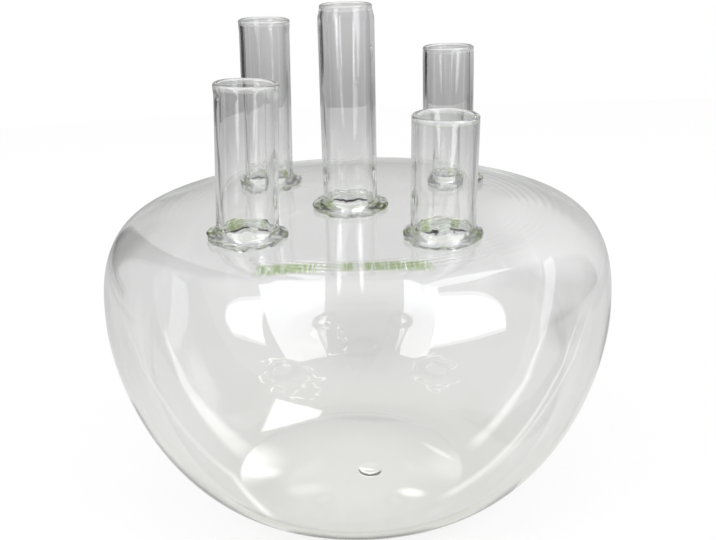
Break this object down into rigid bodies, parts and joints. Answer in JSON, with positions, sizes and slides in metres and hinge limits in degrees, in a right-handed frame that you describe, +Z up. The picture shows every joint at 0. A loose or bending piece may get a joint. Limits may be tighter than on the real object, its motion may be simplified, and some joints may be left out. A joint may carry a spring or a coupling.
{
  "type": "glass vase",
  "caption": "Squat blown-glass bowl vase, closed on top, with upright open tubes of different heights welded on its flat top; each holds a stem over shared water.",
  "frame": {"origin": "on the table, under the middle of the bowl", "axes": "+Z up along the bowl's axis, -Y towards the front of the vase, +X to its right"},
  "size_m": [0.288, 0.288, 0.2785],
  "materials": {
    "clear_glass": "fire polished",
    "weld_glass": "fire polished"
  },
  "bodies": {
    "root": {"bowl": "clear_glass", "base_seal": "weld_glass", "front_left_tube": "clear_glass", "front_left_collar": "weld_glass", "front_right_tube": "clear_glass", "front_right_collar": "weld_glass", "centre_tube": "clear_glass", "centre_collar": "weld_glass", "back_right_tube": "clear_glass", "back_right_collar": "weld_glass", "back_left_tube": "clear_glass", "back_left_collar": "weld_glass"}
  },
  "joints": []
}
